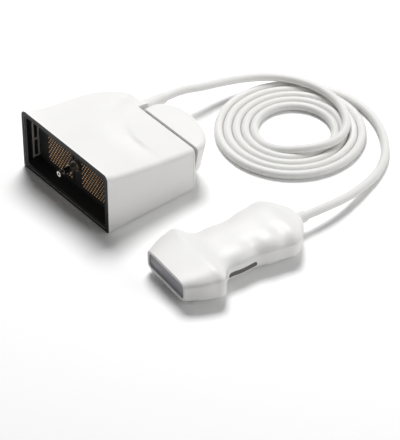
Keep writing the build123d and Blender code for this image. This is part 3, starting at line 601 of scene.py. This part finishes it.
class PROBE_OT_cable(bpy.types.Operator):
    """Lays the cable from the connector, round its turns and into the handle"""

    bl_idname = "probe.lay_cable"
    bl_label = "Lay cable"

    def execute(self, context):
        sizes = context.scene.probe_cable
        curve = bpy.data.curves.new("cable", "CURVE")
        curve.dimensions = "3D"
        spline = curve.splines.new("NURBS")
        route = cable_route(sizes)
        spline.points.add(len(route) - 1)
        for point, place in zip(spline.points, route):
            point.co = (*place, 1.0)
        spline.order_u = ROUTE_ORDER
        spline.use_endpoint_u = True
        spline.resolution_u = ROUTE_STEPS
        cable = bpy.data.objects.new("cable", curve)
        context.scene.collection.objects.link(cable)
        bare = bpy.data.meshes.new_from_object(cable.evaluated_get(context.evaluated_depsgraph_get()))
        bpy.data.meshes.remove(bare)
        curve.bevel_depth = sizes.diameter / 2
        curve.bevel_resolution = JACKET_STEPS
        curve.use_fill_caps = True
        curve.materials.append(bpy.data.materials["cable jacket"])
        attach(cable, BASE)
        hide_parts("cable_lead_in", "cable_coil", "cable_lead_out")
        return {"FINISHED"}


# Contacts in the mouth
def contact_tree():
    """A tree that fills a field with staggered contacts."""
    tree = bpy.data.node_groups.new("contact field", "GeometryNodeTree")
    for name, kind in (
        ("Width", "NodeSocketFloat"),
        ("Height", "NodeSocketFloat"),
        ("Pitch", "NodeSocketFloat"),
        ("Radius", "NodeSocketFloat"),
        ("Stand", "NodeSocketFloat"),
        ("Centre", "NodeSocketVector"),
        ("Finish", "NodeSocketMaterial"),
    ):
        tree.interface.new_socket(name, in_out="INPUT", socket_type=kind)
    tree.interface.new_socket("Contacts", in_out="OUTPUT", socket_type="NodeSocketGeometry")
    sheet = Sheet(tree)

    def given(name):
        return sheet.node("NodeGroupInput", output=name)

    row_pitch = given("Pitch") * ROW_SHARE
    rows = sheet.math("FLOOR", given("Height") / row_pitch)
    columns = sheet.math("FLOOR", given("Width") / given("Pitch"))
    grid = sheet.node(
        "GeometryNodeMeshGrid",
        inputs={
            "Size X": (rows - 1) * row_pitch,
            "Size Y": (columns - 1) * given("Pitch"),
            "Vertices X": rows,
            "Vertices Y": columns,
        },
    )
    row = sheet.math("FLOOR", sheet.node("GeometryNodeInputIndex") / columns)
    shift = (sheet.math("MODULO", row, 2.0) - 0.5) * given("Pitch") * 0.5
    offset = sheet.node("ShaderNodeCombineXYZ", inputs={"Y": shift})
    staggered = sheet.node("GeometryNodeSetPosition", inputs={"Geometry": grid, "Offset": offset})
    stud = sheet.node(
        "GeometryNodeMeshCone",
        inputs={
            "Vertices": STUD_SIDES,
            "Radius Top": given("Radius") * STUD_TOP_SHARE,
            "Radius Bottom": given("Radius"),
            "Depth": given("Stand"),
        },
    )
    placed = sheet.node("GeometryNodeInstanceOnPoints", inputs={"Points": staggered, "Instance": stud})
    upright = sheet.node(
        "GeometryNodeTransform",
        inputs={
            "Geometry": placed,
            "Rotation": (0.0, -math.pi / 2, 0.0),
            "Translation": given("Centre"),
        },
    )
    real = sheet.node("GeometryNodeRealizeInstances", inputs={"Geometry": upright})
    done = sheet.node("GeometryNodeSetMaterial", inputs={"Geometry": real, "Material": given("Finish")})
    sheet.node("NodeGroupOutput", inputs={"Contacts": done})
    return tree


def grown(context, name, tree, values):
    """A plain mesh object made by a node tree with these inputs."""
    host = bpy.data.objects.new(name + " host", bpy.data.meshes.new(name + " host"))
    context.scene.collection.objects.link(host)
    modifier = host.modifiers.new(name, "NODES")
    modifier.node_group = tree
    for item in tree.interface.items_tree:
        if item.item_type == "SOCKET" and item.in_out == "INPUT":
            modifier[item.identifier] = values[item.name]
    mesh = bpy.data.meshes.new_from_object(host.evaluated_get(context.evaluated_depsgraph_get()))
    bpy.data.objects.remove(host)
    mesh.name = name
    piece = bpy.data.objects.new(name, mesh)
    context.scene.collection.objects.link(piece)
    return piece


class PROBE_OT_contacts(bpy.types.Operator):
    """Sets the contacts in the two fields of the mouth"""

    bl_idname = "probe.set_contacts"
    bl_label = "Set contacts"

    def execute(self, context):
        sizes = context.scene.probe_contacts
        plated = drawn_metal("plated contacts", tuple(context.scene.probe_colours.contact), 0.3)
        tree = contact_tree()
        for side in ("left", "right"):
            low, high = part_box("contact_block_" + side)
            edge = -1 if side == "left" else 1
            middle = (low + high) / 2
            centre = (low.x - sizes.height / 2, middle.y + edge * BLOCK_EAR / 2, middle.z)
            field = grown(
                context,
                "contacts_" + side,
                tree,
                {
                    "Width": high.y - low.y - BLOCK_EAR - 2 * FIELD_MARGIN,
                    "Height": high.z - low.z - 2 * FIELD_MARGIN,
                    "Pitch": sizes.pitch,
                    "Radius": sizes.radius,
                    "Stand": sizes.height,
                    "Centre": centre,
                    "Finish": plated,
                },
            )
            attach(field, BASE)
        return {"FINISHED"}


# Stage
TARGET = Vector((8.3, -25.7, 0.0)) * MM
KEY_PLACE = Vector((0.55, 0.71, 1.6))
KEY_SIZE = 0.85
FILL_PLACE = Vector((0.8, -1.4, 0.5))
FILL_SIZE = 1.2
FLOOR_HALF = 6.0
# The floor's tone: for the light that it throws back, and as the camera sees it
FLOOR_TONE = 0.8
FLOOR_SEEN = 1.25
FLOOR_ROUGHNESS = 0.9
FLOOR_GLOSS = 0.1
SENSOR_WIDTH = 36.0


def background_share(sheet):
    """1 for what the camera, a mirror or a clear piece sees, 0 for light."""
    rays = ("Is Camera Ray", "Is Glossy Ray", "Is Transmission Ray")
    direct, mirrored, through = (sheet.node("ShaderNodeLightPath", output=ray) for ray in rays)
    return sheet.math("MAXIMUM", sheet.math("MAXIMUM", direct, mirrored), through)


class PROBE_OT_stage(bpy.types.Operator):
    """Sets up the floor, the light and the camera"""

    bl_idname = "probe.set_stage"
    bl_label = "Set stage"

    def execute(self, context):
        sizes = context.scene.probe_stage
        self.floor(context)
        self.light(context, sizes)
        self.camera(context, sizes)
        context.scene.view_settings.view_transform = "Standard"
        return {"FINISHED"}

    def floor(self, context):
        mesh = bpy.data.meshes.new("floor")
        corners = [(-1, -1), (1, -1), (1, 1), (-1, 1)]
        mesh.from_pydata([(x * FLOOR_HALF, y * FLOOR_HALF, 0.0) for x, y in corners], [], [(0, 1, 2, 3)])
        finish = Finish("floor", roughness=FLOOR_ROUGHNESS)
        finish.shader.inputs["Specular IOR Level"].default_value = FLOOR_GLOSS
        seen = background_share(finish)
        finish.set(base_color=finish.mix(seen, (FLOOR_TONE,) * 3, (FLOOR_SEEN,) * 3))
        mesh.materials.append(finish.material)
        floor = bpy.data.objects.new("floor", mesh)
        context.scene.collection.objects.link(floor)

    def light(self, context, sizes):
        world = bpy.data.worlds.new("studio")
        world.use_nodes = True
        context.scene.world = world
        sheet = Sheet(world.node_tree)
        strength = sizes.ambient + (1.0 - sizes.ambient) * background_share(sheet)
        sky = sheet.node("ShaderNodeBackground", inputs={"Color": (1.0, 1.0, 1.0), "Strength": strength})
        sheet.node("ShaderNodeOutputWorld", inputs={"Surface": sky})
        self.lamp(context, "key", KEY_PLACE, KEY_SIZE, sizes.key)
        self.lamp(context, "fill", FILL_PLACE, FILL_SIZE, sizes.fill)

    def lamp(self, context, name, place, size, power):
        data = bpy.data.lights.new(name, "AREA")
        data.energy = power
        data.shape = "DISK"
        data.size = size
        lamp = bpy.data.objects.new(name, data)
        lamp.location = place
        lamp.rotation_mode = "QUATERNION"
        lamp.rotation_quaternion = (TARGET - place).to_track_quat("-Z", "Y")
        context.scene.collection.objects.link(lamp)

    def camera(self, context, sizes):
        level = math.cos(sizes.elevation)
        back = Vector(
            (math.sin(sizes.azimuth) * level, -math.cos(sizes.azimuth) * level, math.sin(sizes.elevation))
        )
        data = bpy.data.cameras.new("camera")
        data.sensor_width = SENSOR_WIDTH
        data.lens = sizes.lens
        camera = bpy.data.objects.new("camera", data)
        camera.location = TARGET + back * sizes.distance
        camera.rotation_mode = "QUATERNION"
        camera.rotation_quaternion = (-back).to_track_quat("-Z", "Y")
        context.scene.collection.objects.link(camera)
        context.scene.camera = camera


OPERATORS = (PROBE_OT_solids, PROBE_OT_cable, PROBE_OT_contacts, PROBE_OT_stage)


class PROBE_PT_panel(bpy.types.Panel):
    """Lists the probe's operators and sizes"""

    bl_idname = "PROBE_PT_panel"
    bl_label = "Probe"
    bl_space_type = "VIEW_3D"
    bl_region_type = "UI"
    bl_category = "Probe"

    def draw(self, context):
        for operator in OPERATORS:
            self.layout.operator(operator.bl_idname)
        for name, group in GROUPS.items():
            box = self.layout.box()
            for key in group.__annotations__:
                box.prop(getattr(context.scene, name), key)


def register():
    for name, group in GROUPS.items():
        bpy.utils.register_class(group)
        setattr(bpy.types.Scene, name, PointerProperty(type=group))
    for made in (*OPERATORS, PROBE_PT_panel):
        bpy.utils.register_class(made)


def unregister():
    for made in reversed((*OPERATORS, PROBE_PT_panel)):
        bpy.utils.unregister_class(made)
    for name, group in GROUPS.items():
        delattr(bpy.types.Scene, name)
        bpy.utils.unregister_class(group)


def main():
    register()
    bpy.ops.probe.finish_solids()
    bpy.ops.probe.lay_cable()
    bpy.ops.probe.set_contacts()
    bpy.ops.probe.set_stage()


if __name__ == "__main__":
    main()
